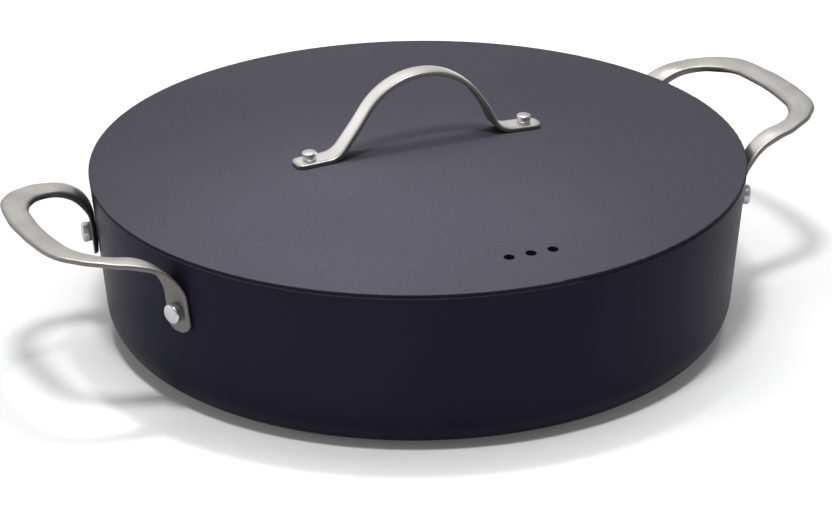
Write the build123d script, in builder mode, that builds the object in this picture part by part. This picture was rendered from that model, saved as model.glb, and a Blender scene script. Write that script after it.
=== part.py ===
from build123d import *
import os
from math import asin, atan, cos, degrees, radians, sin, sqrt, tan

os.makedirs("parts", exist_ok=True)

# Braiser: a spun aluminium pan with two riveted loop handles and a domed lid with a riveted
# strap handle. The origin is the centre of the base, +X runs along the two side handles and
# the vent holes of the lid are on the -Y side. Lengths are in millimetres, angles in degrees.

# Pan
rim_radius = 152.4
rim_height = 78.3
wall_flare = 5.7
wall_thickness = 3.0
base_thickness = 4.0
base_corner_radius = 17.6
rim_rounding = 0.8
inner_rim_rounding = 0.6

# Lid
lid_overhang = 0.1
lid_edge_thickness = 1.6
lid_thickness = 2.0
lid_dome_rise = 8.0
lid_edge_rounding = 0.6
ring_clearance = 1.0
ring_thickness = 2.2
ring_depth = 4.0
ring_rounding = 0.6
lid_turn = -2.7

# Steam vents in the lid
vent_diameter = 5.0
vent_spacing = 10.6
vent_inset = 27.6
vent_count = 3

# Side handles, measured outward and inward from the rim
loop_overhang = 45.1
loop_corner_half_width = 48.0
loop_root_inset = 11.4
loop_root_half_width = 54.7
loop_corner_radius = 33.0
loop_width = 10.4
loop_thickness = 2.6
loop_rise_angle = 6.5
loop_bend_radius = 21.5
loop_bend_height = 60.4
loop_edge_rounding = 1.0
pad_drop = 9.6
pad_end_radius = 6.0

# Side rivets
side_rivet_height = 53.2
side_rivet_head_diameter = 9.4
side_rivet_head_height = 3.8
side_rivet_head_rounding = 0.9
side_rivet_head_crown = 0.3
side_rivet_shank_diameter = 6.0
side_rivet_inner_diameter = 12.0
side_rivet_inner_height = 1.8
side_rivet_inner_edge = 0.6

# Lid handle, with its arch measured on the underside of the strap
arch_height = 42.2
arch_radius = 31.6
arch_leg_angle = 56.0
arch_foot_radius = 12.2
arch_thickness = 2.4
arch_width = 9.2
foot_width = 11.2
foot_end_radius = 4.2
foot_overhang = 7.7
arch_edge_rounding = 0.7

# Lid rivets
lid_rivet_offset = 53.9
lid_rivet_head_diameter = 6.9
lid_rivet_neck_diameter = 5.9
lid_rivet_head_height = 4.0
lid_rivet_head_rounding = 0.7
lid_rivet_head_crown = 0.3
lid_rivet_shank_diameter = 4.6
lid_rivet_inner_diameter = 9.0
lid_rivet_inner_height = 1.4
lid_rivet_inner_edge = 0.5

# Fits
rivet_hole_clearance = 0.1
rivet_seat_depth = 0.3
cut_overrun = 10.0

# The outside of the wall is a straight line from the base corner to the rim
flare_slope = tan(radians(wall_flare))
foot_radius = rim_radius - flare_slope * rim_height
rim_inner_radius = rim_radius - wall_thickness / cos(radians(wall_flare))


def wall_radius(height):
    """Outer radius of the wall at a height above the base."""
    return rim_radius - flare_slope * (rim_height - height)


def inner_wall_radius(height):
    """Inner radius of the wall at a height above the base."""
    return wall_radius(height) - wall_thickness / cos(radians(wall_flare))


# The end of a side handle's loop is round the pan's axis and its arms draw in towards it. The
# rivet stands where the middle of an arm crosses the wall.
loop_reach = rim_radius + loop_overhang
loop_root_reach = rim_radius - loop_root_inset
loop_corner_reach = sqrt(loop_reach**2 - loop_corner_half_width**2)
arm_lean = atan((loop_root_half_width - loop_corner_half_width) / (loop_corner_reach - loop_root_reach))
arm_distance = (
    loop_root_reach * sin(arm_lean) + loop_root_half_width * cos(arm_lean) - loop_width / 2
)
pad_angle = degrees(asin(arm_distance / wall_radius(side_rivet_height)) - arm_lean)

# Planes of the side rivets: the origin is on the outside of the wall, +Z points out of it
side_rivet_places = {
    "side_rivet_right_front": -pad_angle,
    "side_rivet_right_back": pad_angle,
    "side_rivet_left_front": pad_angle - 180,
    "side_rivet_left_back": 180 - pad_angle,
}


def side_rivet_plane(angle):
    """Plane on the wall at an angle around the pan, square to the flared wall."""
    outward = Vector(cos(radians(angle)), sin(radians(angle)), -flare_slope)
    sideways = Vector(-sin(radians(angle)), cos(radians(angle)), 0)
    radius = wall_radius(side_rivet_height)
    spot = Vector(radius * cos(radians(angle)), radius * sin(radians(angle)), side_rivet_height)
    return Plane(origin=spot, x_dir=sideways, z_dir=outward)


# Pan body: one revolved shell with four rivet holes
with BuildPart() as pan_body:
    with BuildSketch(Plane.XZ) as pan_section:
        with BuildLine():
            Polyline(
                (0, 0),
                (foot_radius, 0),
                (rim_radius, rim_height),
                (rim_inner_radius, rim_height),
                (inner_wall_radius(base_thickness), base_thickness),
                (0, base_thickness),
                close=True,
            )
        make_face()
        outer_foot = pan_section.vertices().sort_by_distance((foot_radius, 0))[0]
        fillet(outer_foot, base_corner_radius)
        inner_foot = pan_section.vertices().sort_by_distance(
            (inner_wall_radius(base_thickness), base_thickness)
        )[0]
        fillet(inner_foot, base_corner_radius - wall_thickness)
        outer_rim = pan_section.vertices().sort_by_distance((rim_radius, rim_height))[0]
        fillet(outer_rim, rim_rounding)
        inner_rim = pan_section.vertices().sort_by_distance((rim_inner_radius, rim_height))[0]
        fillet(inner_rim, inner_rim_rounding)
    revolve(axis=Axis.Z)
    for angle in side_rivet_places.values():
        with BuildSketch(side_rivet_plane(angle)):
            Circle(side_rivet_shank_diameter / 2 + rivet_hole_clearance)
        extrude(amount=wall_thickness + cut_overrun, both=True, mode=Mode.SUBTRACT)
pan_body.part.label = "pan_body"
export_step(pan_body.part, "parts/pan_body.step")


# The dome of the lid is a shallow cap of a sphere, and its ring hangs in the mouth of the pan
lid_radius = rim_radius + lid_overhang
vent_distance = lid_radius - vent_inset
lid_edge_height = rim_height + lid_edge_thickness
dome_radius = (lid_radius**2 + lid_dome_rise**2) / (2 * lid_dome_rise)
dome_centre_height = lid_edge_height + lid_dome_rise - dome_radius
ring_outer_radius = rim_inner_radius - ring_clearance
ring_inner_radius = ring_outer_radius - ring_thickness
ring_bottom_height = rim_height - ring_depth


def dome_height(radius, depth=0):
    """Height of the top of the lid at a distance from its middle, or of a surface below it."""
    return dome_centre_height + sqrt((dome_radius - depth) ** 2 - radius**2)


lid_plane = Plane.XY.rotated((0, 0, lid_turn))


def lid_rivet_plane(side):
    """Plane on top of the lid at a rivet, square to the dome, with +X away from the middle."""
    along = lid_plane.x_dir * side
    tilt = asin(lid_rivet_offset / dome_radius)
    spot = along * lid_rivet_offset + Vector(0, 0, dome_height(lid_rivet_offset))
    upward = along * sin(tilt) + Vector(0, 0, cos(tilt))
    outward = along * cos(tilt) - Vector(0, 0, sin(tilt))
    return Plane(origin=spot, x_dir=outward, z_dir=upward)


# Lid: a revolved dome with its locating ring below, three vents and two rivet holes
with BuildPart() as lid:
    with BuildSketch(Plane.XZ) as lid_section:
        with BuildLine():
            RadiusArc((0, dome_height(0)), (lid_radius, lid_edge_height), dome_radius)
            Polyline(
                (lid_radius, lid_edge_height),
                (lid_radius, rim_height),
                (ring_outer_radius, rim_height),
                (ring_outer_radius, ring_bottom_height),
                (ring_inner_radius, ring_bottom_height),
                (ring_inner_radius, dome_height(ring_inner_radius, lid_thickness)),
            )
            RadiusArc(
                (ring_inner_radius, dome_height(ring_inner_radius, lid_thickness)),
                (0, dome_height(0, lid_thickness)),
                -(dome_radius - lid_thickness),
            )
            Line((0, dome_height(0, lid_thickness)), (0, dome_height(0)))
        make_face()
        for height in (lid_edge_height, rim_height):
            edge_corner = lid_section.vertices().sort_by_distance((lid_radius, height))[0]
            fillet(edge_corner, lid_edge_rounding)
        for radius in (ring_outer_radius, ring_inner_radius):
            ring_corner = lid_section.vertices().sort_by_distance((radius, ring_bottom_height))[0]
            fillet(ring_corner, ring_rounding)
    revolve(axis=Axis.Z)
    with BuildSketch(lid_plane.offset(ring_bottom_height)):
        with Locations((0, -vent_distance)):
            with GridLocations(vent_spacing, 0, vent_count, 1):
                Circle(vent_diameter / 2)
    extrude(amount=dome_height(0) - ring_bottom_height + cut_overrun, mode=Mode.SUBTRACT)
    for side in (1, -1):
        with BuildSketch(lid_rivet_plane(side)):
            Circle(lid_rivet_shank_diameter / 2 + rivet_hole_clearance)
        extrude(amount=lid_thickness + cut_overrun, both=True, mode=Mode.SUBTRACT)
lid.part.label = "lid"
export_step(lid.part, "parts/lid.step")

# Side handle: the strap's side profile revolved around the pan, so that its pads lie on the
# wall, and cut to the loop's outline seen from above
pad_bottom_height = side_rivet_height - pad_drop - loop_thickness
with BuildPart() as side_handle_right:
    with BuildSketch(Plane.XZ):
        with BuildLine():
            seat = Line(
                (wall_radius(pad_bottom_height), pad_bottom_height),
                (wall_radius(loop_bend_height), loop_bend_height),
            )
            bend = JernArc(
                start=seat @ 1,
                tangent=seat % 1,
                radius=loop_bend_radius + loop_thickness / 2,
                arc_size=-(90 - wall_flare - loop_rise_angle),
            )
            PolarLine(bend @ 1, loop_reach, angle=loop_rise_angle)
            offset(amount=loop_thickness, side=Side.RIGHT, closed=True)
        make_face()
    revolve(axis=Axis.Z)
    with BuildSketch(Plane.XY) as loop_outline:
        with BuildLine():
            ThreePointArc(
                (loop_corner_reach, -loop_corner_half_width),
                (loop_reach, 0),
                (loop_corner_reach, loop_corner_half_width),
            )
            Polyline(
                (loop_corner_reach, loop_corner_half_width),
                (loop_root_reach, loop_root_half_width),
                (0, loop_root_half_width + loop_root_reach * tan(arm_lean)),
                (0, -loop_root_half_width - loop_root_reach * tan(arm_lean)),
                (loop_root_reach, -loop_root_half_width),
                (loop_corner_reach, -loop_corner_half_width),
            )
        make_face()
        fillet(loop_outline.vertices().group_by(Axis.X)[-1], loop_corner_radius)
        offset(amount=-loop_width, mode=Mode.SUBTRACT)
    extrude(amount=loop_reach, mode=Mode.INTERSECT)
    fillet(side_handle_right.edges(), loop_edge_rounding)
    for angle in (pad_angle, -pad_angle):
        with BuildSketch(side_rivet_plane(angle)):
            with Locations((0, pad_end_radius - pad_drop)):
                Rectangle(
                    loop_width + cut_overrun, loop_width + cut_overrun, align=(Align.CENTER, Align.MAX)
                )
                Circle(pad_end_radius, mode=Mode.SUBTRACT)
        extrude(amount=loop_width, both=True, mode=Mode.SUBTRACT)
    for angle in (pad_angle, -pad_angle):
        with BuildSketch(side_rivet_plane(angle)):
            Circle(side_rivet_shank_diameter / 2 + rivet_hole_clearance)
        extrude(amount=loop_thickness + cut_overrun, both=True, mode=Mode.SUBTRACT)
side_handle_right.part.label = "side_handle_right"
export_step(side_handle_right.part, "parts/side_handle_right.step")

with BuildPart() as side_handle_left:
    add(mirror(side_handle_right.part, about=Plane.YZ))
side_handle_left.part.label = "side_handle_left"
export_step(side_handle_left.part, "parts/side_handle_left.step")


def domed_edge(radius, edge_height, top_height):
    """Arc of a low dome from its edge to its top on the axis, in a rivet's section."""
    rise = top_height - edge_height
    return RadiusArc((radius, edge_height), (0, top_height), -(radius**2 + rise**2) / (2 * rise))


def rivet_blank(
    seat, strap, sheet, head, neck, head_height, crown, rounding, shank, inner, inner_edge, inner_height
):
    """A rivet that clamps a strap above the seat plane to a sheet below it.

    Both heads reach a little into the metal, which then trims them to its own curve.
    """
    head_top = strap + head_height
    head_bottom = strap - rivet_seat_depth
    inner_top = rivet_seat_depth - sheet
    inner_bottom = -sheet - inner_height
    with BuildPart() as blank:
        with BuildSketch(Plane(seat.origin, seat.x_dir, -seat.y_dir)) as section:
            with BuildLine():
                domed_edge(head / 2, head_top - crown, head_top)
                Polyline(
                    (head / 2, head_top - crown),
                    (neck / 2, head_bottom),
                    (shank / 2, head_bottom),
                    (shank / 2, inner_top),
                    (inner / 2, inner_top),
                    (inner / 2, -sheet - inner_edge),
                )
                domed_edge(inner / 2, -sheet - inner_edge, inner_bottom)
                Line((0, inner_bottom), (0, head_top))
            make_face()
            fillet(section.vertices().sort_by_distance((head / 2, head_top))[0], rounding)
        revolve(axis=Axis(seat.origin, seat.z_dir))
    return blank.part


# Side rivets: a barrel head outside, a shank through the pad and the wall, a low head inside
for name, angle in side_rivet_places.items():
    side_rivet_blank = rivet_blank(
        side_rivet_plane(angle),
        strap=loop_thickness,
        sheet=wall_thickness,
        head=side_rivet_head_diameter,
        neck=side_rivet_head_diameter,
        head_height=side_rivet_head_height,
        crown=side_rivet_head_crown,
        rounding=side_rivet_head_rounding,
        shank=side_rivet_shank_diameter,
        inner=side_rivet_inner_diameter,
        inner_edge=side_rivet_inner_edge,
        inner_height=side_rivet_inner_height,
    )
    with BuildPart() as side_rivet:
        add(side_rivet_blank)
        add(pan_body.part, mode=Mode.SUBTRACT)
        add(side_handle_right.part, mode=Mode.SUBTRACT)
        add(side_handle_left.part, mode=Mode.SUBTRACT)
    side_rivet.part.label = name
    export_step(side_rivet.part, f"parts/{name}.step")

# Lid handle: the side profile of the strap cut to its outline seen from above. Its feet lie
# in the planes that touch the dome at the rivets.
foot_tilt = asin(lid_rivet_offset / dome_radius)
foot_reach = lid_rivet_offset + foot_overhang
leg_slope = tan(radians(arch_leg_angle))
peak_height = lid_edge_height + arch_height + arch_radius * (1 / cos(radians(arch_leg_angle)) - 1)
spot_height = dome_height(lid_rivet_offset)
knee_reach = (peak_height - spot_height - tan(foot_tilt) * lid_rivet_offset) / (
    leg_slope - tan(foot_tilt)
)
knee_height = peak_height - leg_slope * knee_reach
toe_reach = foot_reach + cut_overrun
toe_height = spot_height - tan(foot_tilt) * (toe_reach - lid_rivet_offset)
with BuildPart() as lid_handle:
    with BuildSketch(Plane(origin=(0, 0, 0), x_dir=lid_plane.x_dir, z_dir=-lid_plane.y_dir)):
        with BuildLine():
            FilletPolyline(
                (-toe_reach, toe_height),
                (-knee_reach, knee_height),
                (0, peak_height),
                (knee_reach, knee_height),
                (toe_reach, toe_height),
                radius=[arch_foot_radius, arch_radius, arch_foot_radius],
            )
            offset(amount=arch_thickness, side=Side.LEFT, closed=True)
        make_face()
    extrude(amount=foot_width, both=True)
    with BuildSketch(lid_plane) as strap_outline:
        with BuildLine():
            for side in (1, -1):
                ThreePointArc(
                    (-knee_reach, side * foot_width / 2),
                    (0, side * arch_width / 2),
                    (knee_reach, side * foot_width / 2),
                )
                Polyline(
                    (side * knee_reach, foot_width / 2),
                    (side * foot_reach, foot_width / 2),
                    (side * foot_reach, -foot_width / 2),
                    (side * knee_reach, -foot_width / 2),
                )
        make_face()
        foot_corners = strap_outline.vertices().filter_by(
            lambda corner: abs(lid_plane.to_local_coords(corner).X) > lid_rivet_offset
        )
        fillet(foot_corners, foot_end_radius)
    extrude(amount=peak_height, mode=Mode.INTERSECT)
    fillet(lid_handle.edges(), arch_edge_rounding)
    for side in (1, -1):
        with BuildSketch(lid_rivet_plane(side)):
            Circle(lid_rivet_shank_diameter / 2 + rivet_hole_clearance)
        extrude(amount=arch_thickness + cut_overrun, both=True, mode=Mode.SUBTRACT)
lid_handle.part.label = "lid_handle"
export_step(lid_handle.part, "parts/lid_handle.step")

# Lid rivets: a small head that widens upward, and a low head under the lid
for name, side in {"lid_rivet_right": 1, "lid_rivet_left": -1}.items():
    lid_rivet_blank = rivet_blank(
        lid_rivet_plane(side),
        strap=arch_thickness,
        sheet=lid_thickness,
        head=lid_rivet_head_diameter,
        neck=lid_rivet_neck_diameter,
        head_height=lid_rivet_head_height,
        crown=lid_rivet_head_crown,
        rounding=lid_rivet_head_rounding,
        shank=lid_rivet_shank_diameter,
        inner=lid_rivet_inner_diameter,
        inner_edge=lid_rivet_inner_edge,
        inner_height=lid_rivet_inner_height,
    )
    with BuildPart() as lid_rivet:
        add(lid_rivet_blank)
        add(lid.part, mode=Mode.SUBTRACT)
        add(lid_handle.part, mode=Mode.SUBTRACT)
    lid_rivet.part.label = name
    export_step(lid_rivet.part, f"parts/{name}.step")
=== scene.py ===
from math import asin, atan, cos, hypot, pi, radians, sin, sqrt, tan

import bmesh
import bpy
from mathutils import Matrix, Vector


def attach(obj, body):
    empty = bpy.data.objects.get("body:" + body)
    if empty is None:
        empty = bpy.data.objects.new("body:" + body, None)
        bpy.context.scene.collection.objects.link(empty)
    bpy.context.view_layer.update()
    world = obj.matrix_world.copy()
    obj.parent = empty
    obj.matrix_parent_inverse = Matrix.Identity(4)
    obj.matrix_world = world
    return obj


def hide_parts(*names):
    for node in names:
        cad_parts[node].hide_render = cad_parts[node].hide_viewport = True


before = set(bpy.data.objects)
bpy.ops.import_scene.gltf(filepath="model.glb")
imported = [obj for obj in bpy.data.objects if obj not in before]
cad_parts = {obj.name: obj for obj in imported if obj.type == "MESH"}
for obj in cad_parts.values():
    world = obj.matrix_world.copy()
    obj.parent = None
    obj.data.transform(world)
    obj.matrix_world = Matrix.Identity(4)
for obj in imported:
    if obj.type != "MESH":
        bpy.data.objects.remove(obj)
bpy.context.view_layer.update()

scene = bpy.context.scene

# Camera: a long lens that stands to the front left of the pan and looks down on its lid at
# 24 degrees, with the picture turned by half a degree. Its places are in metres.
LOOK_ROUND = radians(-26)
LOOK_ASIDE = radians(0.0397)
LOOK_DOWN = radians(24.0117)
PICTURE_TURN = radians(-0.5637)
CAMERA_BACK = 1.868
CAMERA_HEIGHT = 0.86
LENS_LENGTH = 188.85

photo_lens = bpy.data.cameras.new("camera")
photo_lens.sensor_width = 36
photo_lens.lens = LENS_LENGTH
camera = bpy.data.objects.new("camera", photo_lens)
scene.collection.objects.link(camera)
camera.matrix_world = (
    Matrix.Rotation(LOOK_ROUND, 4, "Z")
    @ Matrix.Translation((0, -CAMERA_BACK, CAMERA_HEIGHT))
    @ Matrix.Rotation(LOOK_ASIDE, 4, "Z")
    @ Matrix.Rotation(pi / 2 - LOOK_DOWN, 4, "X")
    @ Matrix.Rotation(PICTURE_TURN, 4, "Z")
)
scene.camera = camera
scene.view_settings.view_transform = "Standard"


# Pan: spun from one thick aluminium disc and hard anodised, with a satin skin. Its coating is
# the lid's, painted nearly black here as painted shade. The rim is turned true after spinning,
# so its edge is paler, and the spinning leaves fine rings inside and below.
class Signal:
    """A value in a finish. Sums of signals add the Math nodes that work them out."""

    def __init__(self, nodes, socket):
        self.nodes = nodes
        self.socket = socket

    def __add__(self, other):
        return self.nodes.math("ADD", self, other)

    __radd__ = __add__

    def __sub__(self, other):
        return self.nodes.math("SUBTRACT", self, other)

    def __rsub__(self, other):
        return self.nodes.math("SUBTRACT", other, self)

    def __mul__(self, other):
        return self.nodes.math("MULTIPLY", self, other)

    __rmul__ = __mul__


class Nodes:
    """The nodes of a finish, or of the studio's sky."""

    def __init__(self, tree):
        self.tree = tree

    def node(self, kind, settings=None, sockets=None, output=0):
        """Adds a node, its settings first and then its sockets, and gives one of its outputs."""
        made = self.tree.nodes.new("ShaderNode" + kind)
        for name, value in (settings or {}).items():
            setattr(made, name, value)
        for name, value in (sockets or {}).items():
            if isinstance(value, Signal):
                self.tree.links.new(value.socket, made.inputs[name])
            else:
                made.inputs[name].default_value = value
        return Signal(self, made.outputs[output])

    def math(self, operation, first, second):
        return self.node("Math", {"operation": operation}, {0: first, 1: second})

    def axis(self, vector, number):
        """One of the three numbers of a vector."""
        return self.node("SeparateXYZ", sockets={0: vector}, output=number)

    def stretch(self, vector, factors):
        """A vector with each of its numbers multiplied by its own factor."""
        return self.node("VectorMath", {"operation": "MULTIPLY"}, {0: vector, 1: factors})

    def length(self, vector):
        return self.node("VectorMath", {"operation": "LENGTH"}, {0: vector}, output="Value")

    def noise(self, vector, scale, detail=2.0):
        return self.node("TexNoise", sockets={"Vector": vector, "Scale": scale, "Detail": detail})

    def ramp(self, value, low, high):
        """Rises smoothly from 0 to 1 while a value goes from low to high."""
        return self.node(
            "MapRange",
            {"interpolation_type": "SMOOTHSTEP"},
            {"Value": value, "From Min": low, "From Max": high},
        )

    def mix(self, amount, first, second):
        """One colour turning into another."""
        return self.node("Mix", {"data_type": "RGBA"}, {0: amount, 6: first, 7: second}, output=2)


class Finish(Nodes):
    """A procedural finish on one principled shader."""

    def __init__(self, name, **plain):
        self.material = bpy.data.materials.new(name)
        self.material.use_nodes = True
        super().__init__(self.material.node_tree)
        self.shader = self.tree.nodes["Principled BSDF"]
        for socket, value in plain.items():
            self.shader.inputs[socket.replace("_", " ")].default_value = value

    def feed(self, **signals):
        for socket, signal in signals.items():
            self.tree.links.new(signal.socket, self.shader.inputs[socket.replace("_", " ")])

    def spot(self):
        """The shaded point, in metres in the piece's own frame."""
        return self.node("TexCoord", output="Object")

    def bump(self, height, strength, depth):
        sockets = {"Height": height, "Strength": strength, "Distance": depth}
        return self.node("Bump", sockets=sockets)


def rgb(red, green, blue):
    return (red, green, blue, 1)


def wear(piece, finish):
    piece.data.materials.clear()
    piece.data.materials.append(finish.material)


# Darkest and lightest skin, the lid's coating painted darker as painted shade, then the skin of
# the rim's edge, the heights between which that edge begins, and the radii between which the
# spun rings begin, in metres
PAN_SKIN_PAINTED_DARKER = rgb(0.0100, 0.0094, 0.0188), rgb(0.0169, 0.0156, 0.0300)
EDGE_SKIN = rgb(0.12, 0.12, 0.14)
EDGE_HEIGHTS = 0.0772, 0.0779
SPUN_RADII = 0.143, 0.139

satin = Finish("hard_anodised_satin", Specular_IOR_Level=0.035)
spot = satin.spot()
grain = satin.noise(spot, 1500)
cloud = satin.noise(spot, 12, 3)
rings = satin.node(
    "TexWave",
    {"wave_type": "RINGS", "rings_direction": "Z"},
    {"Vector": spot, "Scale": 420, "Distortion": 0.6, "Detail": 1},
    output=1,
)
spun = satin.ramp(satin.length(satin.stretch(spot, (1, 1, 0))), *SPUN_RADII)
edge = satin.ramp(satin.axis(spot, 2), *EDGE_HEIGHTS)
skin = satin.mix(grain * 0.4 + cloud * 0.6, *PAN_SKIN_PAINTED_DARKER)
satin.feed(
    Base_Color=satin.mix(edge * 0.35, skin, EDGE_SKIN),
    Roughness=0.36 + 0.1 * grain,
    Normal=satin.bump(grain * 0.5 + rings * (spun * 0.5), 0.15, 0.0002),
)
wear(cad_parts["pan_body"], satin)

# Lid: a pressed aluminium disc, blasted to a fine grain and anodised in the pan's coating, with
# three steam vents punched near its front edge. Its top is painted a lighter matt grey as
# painted light, and its upright edge is painted nearly black as painted shade.
# Darkest and lightest skin of the top, painted lighter as painted light, then the painted shade of
# the upright edge
LID_SKIN_PAINTED_LIGHTER = rgb(0.030, 0.0288, 0.0353), rgb(0.102, 0.0983, 0.1193)
LID_UPRIGHT_PAINTED_SHADE = rgb(0.0105, 0.0098, 0.017)

matt = Finish("hard_anodised_matt", Specular_IOR_Level=0.01)
spot = matt.spot()
grain = matt.noise(spot, 1300, 3)
cloud = matt.noise(spot, 8, 3)
# Painted shade: the more a face turns sideways, the nearer black it is painted
sideways_shade_mask = matt.ramp(matt.axis(matt.node("TexCoord", output="Normal"), 2), 0.9, 0.3)
flat = matt.mix(grain * 0.7 + cloud * 0.3, *LID_SKIN_PAINTED_LIGHTER)
matt.feed(
    Base_Color=matt.mix(sideways_shade_mask * 0.85, flat, LID_UPRIGHT_PAINTED_SHADE),
    Roughness=0.44 + 0.12 * grain,
    Normal=matt.bump(grain, 0.2, 0.0002),
)
wear(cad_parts["lid"], matt)

# Side handles: flat stainless strap stamped as a loop with rolled edges, brushed along its
# length, and bent down to two pads that lie on the flared wall. Sizes are in millimetres.
FLARE = radians(5.7)
RIM_RADIUS = 152.4
RIM_HEIGHT = 78.3
LOOP_REACH = 197.5
LOOP_ROOT_REACH = 141.0
LOOP_ROOT_HALF = 54.7
LOOP_END_HALF = 48.0
LOOP_RISE = radians(6.5)
CORNER_RADIUS = 33.0
STRAP_WIDTH = 10.4
STRAP_THICKNESS = 2.6
BEND_RADIUS = 21.5
BEND_HEIGHT = 60.4
RIVET_HEIGHT = 53.2
PAD_DROP = 10.6
PAD_CAP = 5.4
PAD_ROUNDNESS = 0.85

# How far along the strap from the end of a pad, then its inner edge, its outer edge, its
# underside and how far its outer edge droops
LOOP_SHAPE = (
    (0, 5.6, 6.0, 1.3, 0.0),
    (16, 5.5, 6.0, 1.3, 0.0),
    (29, 5.3, 6.2, 1.6, 1.2),
    (41, 5.2, 5.6, 1.7, 1.2),
    (51, 5.2, 4.5, 1.5, 0.5),
    (59, 5.5, 4.0, 1.4, 0.0),
    (68, 6.3, 4.6, 1.4, 0.0),
    (77, 6.8, 6.1, 1.4, 0.0),
    (86, 6.5, 6.1, 1.4, 0.0),
    (108, 6.0, 5.4, 1.4, 0.0),
)
# Where an edge swells: by how much, from where to where along the strap that comes on, and from
# where to where it goes again. The four corners of the two loops are not quite alike. A swell
# that stays would go only beyond the middle of the loop's end.
STAYS = 200, 210
BACK_ARM = (1.3, 40, 52, 70, 84), (-0.6, 16, 24, 36, 48)
BACK_UNDERSIDE = ((0.7, 20, 32, 68, 80),)
LOOP_EDGES = {
    "side_handle_right": {
        "back": BACK_ARM + ((-1.2, 62, 80, 88, 104), (0.4, 88, 102, *STAYS)),
        "front": ((0.66, 42, 54, 62, 76), (-0.42, 68, 80, 84, 98), (0.4, 88, 102, *STAYS)),
    },
    "side_handle_left": {
        "back": BACK_ARM
        + ((1.1, 42, 54, 62, 76), (-0.7, 68, 80, 84, 98), (0.7, 88, 102, *STAYS)),
        "front": ((0.7, 88, 102, *STAYS),),
    },
}


def wall_radius(height):
    """Outer radius of the pan's wall at a height."""
    return RIM_RADIUS - tan(FLARE) * (RIM_HEIGHT - height)


def smooth(value):
    """Rises smoothly from 0 to 1 while a value does."""
    value = min(1.0, max(0.0, value))
    return value * value * (3 - 2 * value)


def strap_section(width, thickness, crown, top_roll, bottom_roll):
    """Section of a strap from the middle of its top round to there again.

    It has a slight crown, rolled upper edges and tighter lower ones. Each entry says how far
    across and how far up it is, both from -1 to 1.
    """
    half, thick = width / 2, thickness / 2
    side = []
    for step in range(7):
        across = (half - top_roll) * sin(pi / 2 * step / 6)
        side.append((across, thick - crown * (across / half) ** 2))
    shoulder = thick - crown * ((half - top_roll) / half) ** 2
    for step in range(1, 8):
        turn = pi / 2 * step / 7
        side.append((half - top_roll * (1 - sin(turn)), shoulder - top_roll * (1 - cos(turn))))
    for step in range(5):
        turn = pi / 2 * step / 4
        side.append((half - bottom_roll * (1 - cos(turn)), -thick + bottom_roll * (1 - sin(turn))))
    for share in (0.75, 0.4, 0.0):
        side.append(((half - bottom_roll) * share, -thick))
    mirrored = [(-across, up) for across, up in side[-2:0:-1]]
    return [(across / half, up / thick) for across, up in side + mirrored]


def strap_skin(name, rings, finish):
    """Joins rings of points in millimetres, each with its place on the strap, to a closed skin.

    The place is how far along and across a point is, and how far up and across in the section.
    The finish takes its brushing from the first two, and from the others the painted shade
    under the strap and along its edges.
    """
    points = [point for ring in rings for point, _ in ring]
    places = [place for ring in rings for _, place in ring]
    count = len(rings[0])
    faces = []
    for start in range(0, (len(rings) - 1) * count, count):
        for step in range(count):
            after = (step + 1) % count
            faces.append((start + step, start + after, start + count + after, start + count + step))
    mesh = bpy.data.meshes.new(name)
    mesh.from_pydata([Vector(point) / 1000 for point in points], [], faces)
    brushing = mesh.uv_layers.new(name="brushing")
    level = mesh.uv_layers.new(name="level")
    for loop in mesh.loops:
        along, wide, up, across = places[loop.vertex_index]
        brushing.data[loop.index].uv = along / 1000, wide / 1000
        level.data[loop.index].uv = up, across
    piece = bpy.data.objects.new(name, mesh)
    scene.collection.objects.link(piece)
    weld = bmesh.new()
    weld.from_mesh(mesh)
    bmesh.ops.remove_doubles(weld, verts=weld.verts, dist=0.00001)
    bmesh.ops.dissolve_degenerate(weld, edges=weld.edges, dist=0.000005)
    bmesh.ops.recalc_face_normals(weld, faces=weld.faces)
    weld.to_mesh(mesh)
    weld.free()
    mesh.shade_smooth()
    wear(piece, finish)
    return piece


# The arms lean together from their roots in the wall to the corners of the loop's end
corner_reach = sqrt(LOOP_REACH**2 - LOOP_END_HALF**2)
arm_lean = atan((LOOP_ROOT_HALF - LOOP_END_HALF) / (corner_reach - LOOP_ROOT_REACH))
arm_edge = LOOP_ROOT_REACH * sin(arm_lean) + LOOP_ROOT_HALF * cos(arm_lean)
arm_distance = arm_edge - STRAP_WIDTH / 2
pad_angle = asin(arm_distance / wall_radius(RIVET_HEIGHT)) - arm_lean

bend_start = PAD_DROP + (BEND_HEIGHT - RIVET_HEIGHT) / cos(FLARE)
bend_end = bend_start + BEND_RADIUS * (pi / 2 - FLARE - LOOP_RISE)
bend_centre = (
    wall_radius(BEND_HEIGHT) + (BEND_RADIUS + STRAP_THICKNESS / 2) * cos(FLARE),
    BEND_HEIGHT - (BEND_RADIUS + STRAP_THICKNESS / 2) * sin(FLARE),
)


def strap_side(along):
    """Middle of the strap seen from the side: radius, height, and which way its top faces."""
    if along < bend_start:
        outward, upward = -cos(FLARE), sin(FLARE)
        climb = along - bend_start
        return (
            bend_centre[0] + BEND_RADIUS * outward + climb * sin(FLARE),
            bend_centre[1] + BEND_RADIUS * upward + climb * cos(FLARE),
            outward,
            upward,
        )
    turn = pi - FLARE - min(along - bend_start, bend_end - bend_start) / BEND_RADIUS
    run = max(0.0, along - bend_end)
    return (
        bend_centre[0] + BEND_RADIUS * cos(turn) + run * cos(LOOP_RISE),
        bend_centre[1] + BEND_RADIUS * sin(turn) + run * sin(LOOP_RISE),
        cos(turn),
        sin(turn),
    )


def along_at(radius):
    """How far along the bent strap its middle reaches a radius beyond the wall, by halving."""
    low, high = bend_start, bend_end + 60
    for _ in range(40):
        middle = (low + high) / 2
        low, high = (middle, high) if strap_side(middle)[0] < radius else (low, middle)
    return low


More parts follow.
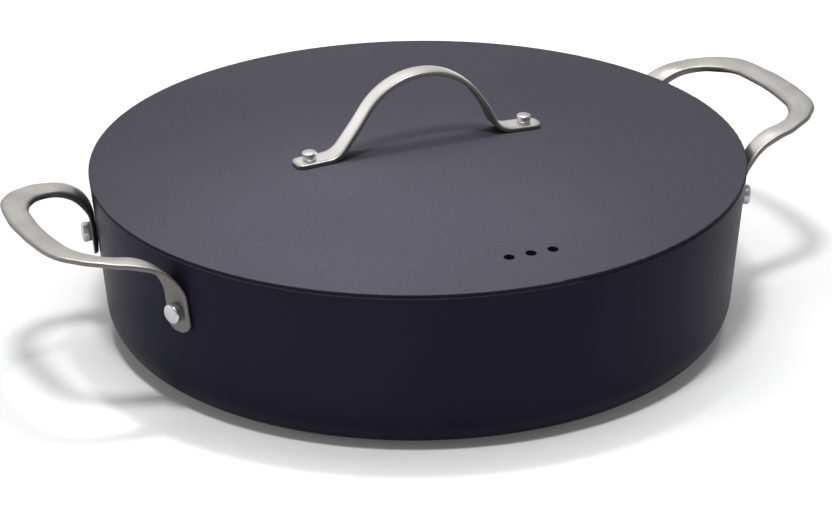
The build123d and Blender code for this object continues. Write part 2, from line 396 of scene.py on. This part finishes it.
# The corner's arc touches the arm's outer edge and the arc of the loop's end
corner_offset = arm_edge - CORNER_RADIUS
corner_along = sqrt((LOOP_REACH - CORNER_RADIUS) ** 2 - corner_offset**2)
corner_centre = (
    corner_along * cos(arm_lean) + corner_offset * sin(arm_lean),
    -corner_along * sin(arm_lean) + corner_offset * cos(arm_lean),
)
corner_middle = CORNER_RADIUS - STRAP_WIDTH / 2
corner_from = pi / 2 - arm_lean
corner_to = atan(corner_centre[1] / corner_centre[0])
corner_long = corner_middle * (corner_from - corner_to)
end_middle = LOOP_REACH - STRAP_WIDTH / 2
end_long = end_middle * corner_to
arm_end = along_at(hypot(corner_along, arm_distance))


def arm_point(along, across, up):
    """A point of an arm: its cross lines turn from round the pan to square to the strap."""
    offset = arm_distance + across
    square = smooth((along - bend_start) / (arm_end - bend_start))
    if square > 0:
        middle = strap_side(along)[0]
        straight = hypot(sqrt(middle**2 - arm_distance**2), offset)
        along += square * (along_at(straight) - along)
    reach, height, outward, upward = strap_side(along)
    reach += up * outward
    turn = asin(offset / reach) - arm_lean
    return reach * cos(turn), reach * sin(turn), height + up * upward


def loop_point(along, across, up):
    """A point of the loop. Its corner and its end lie on the cone that the arms rise along."""
    if along < arm_end:
        return arm_point(along, across, up)
    run = along - arm_end
    if run < corner_long:
        centre, middle, angle = corner_centre, corner_middle, corner_from - run / corner_middle
    else:
        centre, middle, angle = (0, 0), end_middle, corner_to - (run - corner_long) / end_middle
    x = centre[0] + (middle + across) * cos(angle)
    y = centre[1] + (middle + across) * sin(angle)
    reach, height, _, _ = strap_side(bend_end)
    return x, y, height + (hypot(x, y) - reach) * tan(LOOP_RISE) + up / cos(LOOP_RISE)


def swelling(along, swells):
    """How far an edge stands out at a place along the strap."""
    total = 0.0
    for amount, comes, full, fades, gone in swells:
        share = smooth((along - comes) / (full - comes)) * smooth((gone - along) / (gone - fades))
        total += amount * share
    return total


def loop_place(along, across, up, half, edges):
    """Millimetres across and up at a place of the section, with the loop's changing widths."""
    for before, after in zip(LOOP_SHAPE, LOOP_SHAPE[1:]):
        if along <= after[0]:
            break
    share = smooth((along - before[0]) / (after[0] - before[0]))
    inner, outer, under, droop = (
        low + (high - low) * share for low, high in zip(before[1:], after[1:])
    )
    outer += swelling(along, edges[half])
    if half == "back":
        under += swelling(along, BACK_UNDERSIDE)
        droop = 0.0
    wide = across * (outer if across > 0 else inner)
    high = up * (STRAP_THICKNESS / 2 if up > 0 else under)
    return wide, high - droop * smooth((across + 1) / 2)


def loop_rings(half, edges):
    """Rings of one half of a loop, from its pad's lower end to the middle of the loop's end."""
    stations = []
    for step in range(10):
        turn = pi / 2 * step / 10
        rounding = PAD_CAP * cos(turn) ** PAD_ROUNDNESS
        stations.append((PAD_CAP, rounding, sin(turn) ** PAD_ROUNDNESS))
    runs = [PAD_CAP + (arm_end - PAD_CAP) * step / 40 for step in range(40)]
    runs += [arm_end + corner_long * step / 24 for step in range(24)]
    runs += [arm_end + corner_long + end_long * step / 8 for step in range(9)]
    stations += [(run, 0.0, 1.0) for run in runs]
    rings = []
    for run, rounding, share in stations:
        ring = []
        for across, up in loop_section:
            along = run - rounding * abs(across)
            wide, high = loop_place(along, across * share, up, half, edges)
            ring.append((loop_point(along, wide, high), (along, wide, up, across)))
        rings.append(ring)
    return rings


# Darkest and lightest steel of the arch on the lid, the side handles' steel painted brighter as
# painted light, then of the side handles, painted darker as painted shade, and the painted shade
# that darkens the steel below and along the edges. The radii, in metres, part the two.
ARCH_STEEL_PAINTED_LIGHTER = rgb(0.46, 0.446, 0.422), rgb(0.82, 0.80, 0.762)
LOOP_STEEL_PAINTED_DARKER = rgb(0.33, 0.319, 0.300), rgb(0.64, 0.620, 0.586)
STEEL_PAINTED_SHADE = rgb(0.10, 0.097, 0.095)
LOOP_RADII = 0.13, 0.15

steel = Finish("brushed_steel", Metallic=1.0)
brushing = steel.node("UVMap", {"uv_map": "brushing"})
level = steel.node("UVMap", {"uv_map": "level"})
across = steel.axis(level, 1)
fine = steel.noise(steel.stretch(brushing, (60, 2600, 1)), 1, 3)
broad = steel.noise(steel.stretch(brushing, (14, 520, 1)), 1, 2)
cloud = steel.noise(steel.spot(), 60, 2)
streak = fine * 0.5 + broad * 0.3 + cloud * 0.6 - 0.2
# Painted shade: darker steel under the strap and along its edges
underside_painted_shade = steel.ramp(steel.axis(level, 0), 0.92, 0.2)
edge_painted_shade = steel.ramp(across * across, 0.25, 1.0)
# Painted light and shade: brighter steel on the arch, darker on the side handles
lit_and_shaded_steel = steel.mix(
    steel.ramp(steel.length(steel.spot()), *LOOP_RADII),
    steel.mix(streak, *ARCH_STEEL_PAINTED_LIGHTER),
    steel.mix(streak, *LOOP_STEEL_PAINTED_DARKER),
)
steel.feed(
    Base_Color=steel.mix(
        steel.math("MAXIMUM", underside_painted_shade * 0.85, edge_painted_shade * 0.62), lit_and_shaded_steel, STEEL_PAINTED_SHADE
    ),
    Roughness=0.30 + 0.14 * streak + 0.15 * underside_painted_shade,
    Normal=steel.bump(fine, 0.10, 0.0001),
)

loop_section = strap_section(
    STRAP_WIDTH, STRAP_THICKNESS, crown=0.6, top_roll=1.3, bottom_roll=0.5
)
for side, name in ((1, "side_handle_right"), (-1, "side_handle_left")):
    front_half = [
        [((x, -y, z), (-along, *rest)) for (x, y, z), (along, *rest) in ring]
        for ring in loop_rings("front", LOOP_EDGES[name])
    ]
    whole_loop = loop_rings("back", LOOP_EDGES[name]) + front_half[-2::-1]
    rings = [[((side * x, y, z), place) for (x, y, z), place in ring] for ring in whole_loop]
    handle = strap_skin(name + "_strap", rings, steel)
    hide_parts(name)
    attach(handle, "pan")


# Side rivets: solid aluminium, pressed through the pad and the wall. The head outside is a blunt
# barrel with a blasted skin, and the one inside is a low button.
def turned_piece(name, profile, foot, axis, finish, segments=64):
    """Turns pairs of radius and height, from axis to axis, about a line from its foot."""
    rings = []
    points = []
    faces = []
    around = axis.to_track_quat("Z", "X").to_matrix()
    for radius, height in profile:
        if radius == 0:
            rings.append([len(points)] * segments)
            points.append(foot + around @ Vector((0, 0, height)))
            continue
        rings.append(list(range(len(points), len(points) + segments)))
        for step in range(segments):
            turn = 2 * pi * step / segments
            points.append(foot + around @ Vector((radius * cos(turn), radius * sin(turn), height)))
    for low, high in zip(rings, rings[1:]):
        for step in range(segments):
            after = (step + 1) % segments
            faces.append(list(dict.fromkeys((low[step], low[after], high[after], high[step]))))
    mesh = bpy.data.meshes.new(name)
    mesh.from_pydata([point / 1000 for point in points], [], faces)
    clean = bmesh.new()
    clean.from_mesh(mesh)
    bmesh.ops.recalc_face_normals(clean, faces=clean.faces)
    clean.to_mesh(mesh)
    clean.free()
    mesh.shade_smooth()
    piece = bpy.data.objects.new(name, mesh)
    scene.collection.objects.link(piece)
    wear(piece, finish)
    return piece


# How much farther from the sheet the edge of the button inside lies than its middle
BUTTON_FALL = 0.4


def rivet_profile(
    head, neck, shank, inner_head, bottom, top, rounding, crown, inner_top, inner_bottom
):
    """Outline of a rivet from the middle of its outer head to the middle of its inner one.

    The first four are widths, and the others but the rounding and the crown are heights above
    the outer face of the sheet that it is pressed through.
    """
    inner_side = inner_top - BUTTON_FALL
    shoulder = top - crown - rounding
    profile = [(0, top)]
    for step in range(1, 7):
        share = step / 6
        profile.append(((head / 2 - rounding) * share, top - crown * share**2))
    for step in range(1, 9):
        turn = pi / 2 * step / 8
        profile.append((head / 2 - rounding * (1 - sin(turn)), shoulder + rounding * cos(turn)))
    profile.append(((head + neck) / 4, (bottom + shoulder) / 2))
    profile.append((neck / 2, bottom))
    profile.append((shank / 2, bottom))
    profile.append((shank / 2, inner_top))
    for step in range(8):
        turn = pi / 2 * step / 8
        height = inner_side - (inner_side - inner_bottom) * sin(turn)
        profile.append((inner_head / 2 * cos(turn), height))
    profile.append((0, inner_bottom))
    return profile


BLASTED_SKIN = rgb(0.38, 0.38, 0.40), rgb(0.54, 0.54, 0.57)

blasted = Finish("blasted_aluminium", Metallic=1.0)
spot = blasted.spot()
grain = blasted.noise(spot, 2400)
dents = blasted.noise(spot, 700)
blasted.feed(
    Base_Color=blasted.mix(grain, *BLASTED_SKIN),
    Roughness=0.3 + 0.16 * grain,
    Normal=blasted.bump(grain * 0.4 + dents, 0.4, 0.0004),
)

side_rivet = rivet_profile(
    head=9.4,
    neck=8.8,
    shank=6.0,
    inner_head=12.0,
    bottom=2.3,
    top=7.2,
    rounding=1.2,
    crown=0.35,
    inner_top=-2.9,
    inner_bottom=-4.8,
)
rivet_radius = wall_radius(RIVET_HEIGHT)
for side, left_right in ((1, "right"), (-1, "left")):
    for way, back_front in ((1, "back"), (-1, "front")):
        node = f"side_rivet_{left_right}_{back_front}"
        sideways, backward = side * cos(pad_angle), way * sin(pad_angle)
        outward = Vector((sideways, backward, -tan(FLARE))).normalized()
        foot = Vector((rivet_radius * sideways, rivet_radius * backward, RIVET_HEIGHT))
        rivet = turned_piece(node + "_turned", side_rivet, foot, outward, blasted)
        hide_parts(node)
        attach(rivet, "pan")

# Lid handle: a length of the same stainless strap, bent to an arch with two flat feet. It leans a
# little to the right above the feet. Sizes are in millimetres.
LID_RADIUS = 152.5
LID_EDGE_HEIGHT = 79.9
DOME_RISE = 8.0
LID_TURN = radians(-2.7)
LID_RIVET_OFFSET = 53.9
ARCH_THICKNESS = 2.4
ARCH_WIDTH = 9.2
ARCH_RADIUS = 31.6
ARCH_HEIGHT = 42.2
LEG_ANGLE = radians(56)
KNEE_RADIUS = 12.2
WIDENING_LENGTH = 60
FOOT_REACH = 61.6
FOOT_WIDTH = 11.2
FOOT_CAP = 5.0
FOOT_ROUNDNESS = 0.7
LEAN = 1.5
LEAN_GROWTH = 0.018
LEAN_STARTS = 90
LEAN_FULL = 104

lid_turn = Matrix.Rotation(LID_TURN, 3, "Z")
dome_radius = (LID_RADIUS**2 + DOME_RISE**2) / (2 * DOME_RISE)
dome_centre = LID_EDGE_HEIGHT + DOME_RISE - dome_radius
rivet_spot = dome_centre + sqrt(dome_radius**2 - LID_RIVET_OFFSET**2)
foot_tilt = asin(LID_RIVET_OFFSET / dome_radius)

# The arch's inner side, then where its leg meets its foot and how long each stretch is
arch_inside = LID_EDGE_HEIGHT + ARCH_HEIGHT
peak = arch_inside + ARCH_RADIUS * (1 / cos(LEG_ANGLE) - 1)
knee = (peak - rivet_spot - tan(foot_tilt) * LID_RIVET_OFFSET) / (tan(LEG_ANGLE) - tan(foot_tilt))
knee_turn = LEG_ANGLE - foot_tilt
knee_cut = KNEE_RADIUS * tan(knee_turn / 2)
arch_middle = ARCH_RADIUS + ARCH_THICKNESS / 2
knee_middle = KNEE_RADIUS - ARCH_THICKNESS / 2
arch_long = arch_middle * LEG_ANGLE
leg_long = knee / cos(LEG_ANGLE) - knee_cut - ARCH_RADIUS * tan(LEG_ANGLE)
knee_long = knee_middle * knee_turn
foot_long = (FOOT_REACH - knee) / cos(foot_tilt) - knee_cut
cap_start = arch_long + leg_long + knee_long + foot_long - FOOT_CAP


def arch_side(along):
    """Middle of the bent strap, from the top of its arch: reach, height and slope downward."""
    slope = min(along, arch_long) / arch_middle
    reach = arch_middle * sin(slope)
    height = arch_inside + ARCH_THICKNESS / 2 - arch_middle * (1 - cos(slope))
    leg = min(max(0.0, along - arch_long), leg_long)
    reach += leg * cos(slope)
    height -= leg * sin(slope)
    bend = min(max(0.0, along - arch_long - leg_long), knee_long) / knee_middle
    reach += knee_middle * (sin(slope) - sin(slope - bend))
    height -= knee_middle * (cos(slope - bend) - cos(slope))
    slope -= bend
    foot = max(0.0, along - arch_long - leg_long - knee_long)
    return reach + foot * cos(slope), height - foot * sin(slope), slope


def arch_ring(hand, along, cap=pi / 2):
    """One ring of the arch, or of a foot's rounded end where cap is under a quarter turn."""
    ring = []
    thick = ARCH_THICKNESS / 2
    narrowing = max(0.0, 1 - (along / WIDENING_LENGTH) ** 2)
    half = FOOT_WIDTH / 2 - (FOOT_WIDTH - ARCH_WIDTH) / 2 * narrowing
    for across, up in arch_section:
        place = along + FOOT_CAP * abs(across) * cos(cap) ** FOOT_ROUNDNESS
        reach, height, slope = arch_side(place)
        leaning = smooth((height - LEAN_STARTS) / (LEAN_FULL - LEAN_STARTS))
        reach = hand * reach + leaning * (LEAN + LEAN_GROWTH * hand * reach)
        side = half * across * sin(cap) ** FOOT_ROUNDNESS
        point = lid_turn @ Vector(
            (reach + hand * thick * up * sin(slope), side, height + thick * up * cos(slope))
        )
        ring.append((point, (hand * along, side, up, across)))
    return ring


arch_section = strap_section(
    FOOT_WIDTH, ARCH_THICKNESS, crown=0.3, top_roll=0.6, bottom_roll=0.4
)
arch_rings = []
for hand in (-1, 1):
    half_rings = [arch_ring(hand, cap_start * step / 60) for step in range(61)]
    half_rings += [arch_ring(hand, cap_start, pi / 2 * (1 - step / 10)) for step in range(1, 11)]
    arch_rings = half_rings[::-1] if hand < 0 else arch_rings[:-1] + half_rings
arch = strap_skin("lid_handle_strap", arch_rings, steel)
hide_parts("lid_handle")
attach(arch, "lid")

# Lid rivets: smaller aluminium rivets whose heads widen a little towards the top. They are
# pressed through the feet and the lid, with low heads under it.
lid_rivet = rivet_profile(
    head=6.9,
    neck=5.9,
    shank=4.6,
    inner_head=9.0,
    bottom=2.2,
    top=6.4,
    rounding=0.8,
    crown=0.3,
    inner_top=-1.9,
    inner_bottom=-3.4,
)
for side, name in ((1, "lid_rivet_right"), (-1, "lid_rivet_left")):
    sideways = lid_turn @ Vector((side, 0, 0))
    foot = sideways * LID_RIVET_OFFSET + Vector((0, 0, rivet_spot))
    upward = sideways * sin(foot_tilt) + Vector((0, 0, cos(foot_tilt)))
    rivet = turned_piece(name + "_turned", lid_rivet, foot, upward, blasted)
    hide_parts(name)
    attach(rivet, "lid")

# Studio floor: a sheet of white paper that shows the object's shadow near it. Farther off it
# shines white, which only the camera, reflections and glass see.
FLOOR_RADIUS = 8
FLOOR_CORNERS = 96
PAPER_WHITE = rgb(0.9, 0.9, 0.9)
GLOW_NEAR = 0.07
GLOW_GROWTH = 0.85
GLOW_DISTANCES = 0.2, 0.75

floor_mesh = bpy.data.meshes.new("studio_floor")
turns = [2 * pi * step / FLOOR_CORNERS for step in range(FLOOR_CORNERS)]
outline = [(FLOOR_RADIUS * cos(turn), FLOOR_RADIUS * sin(turn), 0) for turn in turns]
floor_mesh.from_pydata(outline, [], [list(range(FLOOR_CORNERS))])
floor = bpy.data.objects.new("studio_floor", floor_mesh)
floor.location.z = -0.0002
scene.collection.objects.link(floor)

paper = Finish(
    "white_paper",
    Base_Color=PAPER_WHITE,
    Roughness=0.9,
    Specular_IOR_Level=0.0,
    Emission_Strength=1.0,
)
seen = (
    paper.node("LightPath", output="Is Camera Ray")
    + paper.node("LightPath", output="Is Glossy Ray")
    + paper.node("LightPath", output="Is Transmission Ray")
)
glow = GLOW_NEAR + GLOW_GROWTH * paper.ramp(paper.length(paper.spot()), *GLOW_DISTANCES)
paper.feed(Emission_Color=paper.mix(seen * glow, rgb(0, 0, 0), rgb(1, 1, 1)))
wear(floor, paper)

# Studio sky: plain white to the camera and through glass. Its light is low, and metal sees it
# bright at the left of the picture and dark behind the camera.
SKY_LIGHT = 0.2
SKY_GLOSS = 0.6
SKY_GLOSS_LEFT = 0.7
DARK_SHARE = 0.6

sky = bpy.data.worlds.new("studio_sky")
scene.world = sky
sky.use_nodes = True
air = Nodes(sky.node_tree)
direction = air.node("TexCoord", output="Generated")


def lies_towards(way):
    """How far the sky's direction points one way, from -1 to 1."""
    return air.node(
        "VectorMath", {"operation": "DOT_PRODUCT"}, {0: direction, 1: way}, output="Value"
    )


leftward = lies_towards((-cos(LOOK_ROUND), -sin(LOOK_ROUND), 0))
dark = air.ramp(lies_towards((sin(LOOK_ROUND), -cos(LOOK_ROUND), 0)), -0.1, 0.75)
camera_ray = air.node("LightPath", output="Is Camera Ray")
plain = camera_ray + air.node("LightPath", output="Is Transmission Ray")
glossy = air.node("LightPath", output="Is Glossy Ray")
glow = (SKY_LIGHT + glossy * (SKY_GLOSS + SKY_GLOSS_LEFT * leftward)) * (1 - DARK_SHARE * dark)
strength = plain + (1 - plain) * glow
background = sky.node_tree.nodes["Background"]
background.inputs["Color"].default_value = rgb(1, 1, 1)
sky.node_tree.links.new(strength.socket, background.inputs["Strength"])

# Studio lamps: a small key in front and high up, a wide soft box overhead, a weak one at each
# side, and a narrow spot on the front of the lid, which it lights more than its far side.
view_turn = Matrix.Rotation(LOOK_ROUND, 3, "Z")


def hang(lamp, place, aim):
    """Hangs a lamp at a place as the camera sees it, right, back and up, aimed at another."""
    hung = bpy.data.objects.new(lamp.name, lamp)
    hung.location = view_turn @ Vector(place)
    beam = view_turn @ (Vector(aim) - Vector(place))
    hung.rotation_euler = beam.to_track_quat("-Z", "Y").to_euler()
    scene.collection.objects.link(hung)


def soft_box(name, place, aim, size, power):
    """A rectangular soft box, its size in metres and its power in watts."""
    lamp = bpy.data.lights.new(name, "AREA")
    lamp.shape = "RECTANGLE"
    lamp.size, lamp.size_y = size
    lamp.energy = power
    hang(lamp, place, aim)


soft_box("key", place=(-0.12, -0.86, 2.4), aim=(0, 0, 0), size=(0.36, 0.36), power=30)
soft_box("overhead", place=(0.05, 0.3, 1.5), aim=(0, 0, 0), size=(1.2, 1.0), power=14.5)
soft_box("left", place=(-1.4, -0.5, 0.5), aim=(0, 0, 0.05), size=(0.5, 0.9), power=2.6)
soft_box("right", place=(1.5, -0.1, 0.5), aim=(0, 0, 0.05), size=(0.5, 0.9), power=1.5)

lid_spot = bpy.data.lights.new("lid_spot", "SPOT")
lid_spot.energy = 24
lid_spot.spot_size = radians(20)
lid_spot.spot_blend = 1.0
lid_spot.shadow_soft_size = 0.06
hang(lid_spot, place=(0.02, 0.06, 1.0), aim=(-0.03, -0.10, 0.08))
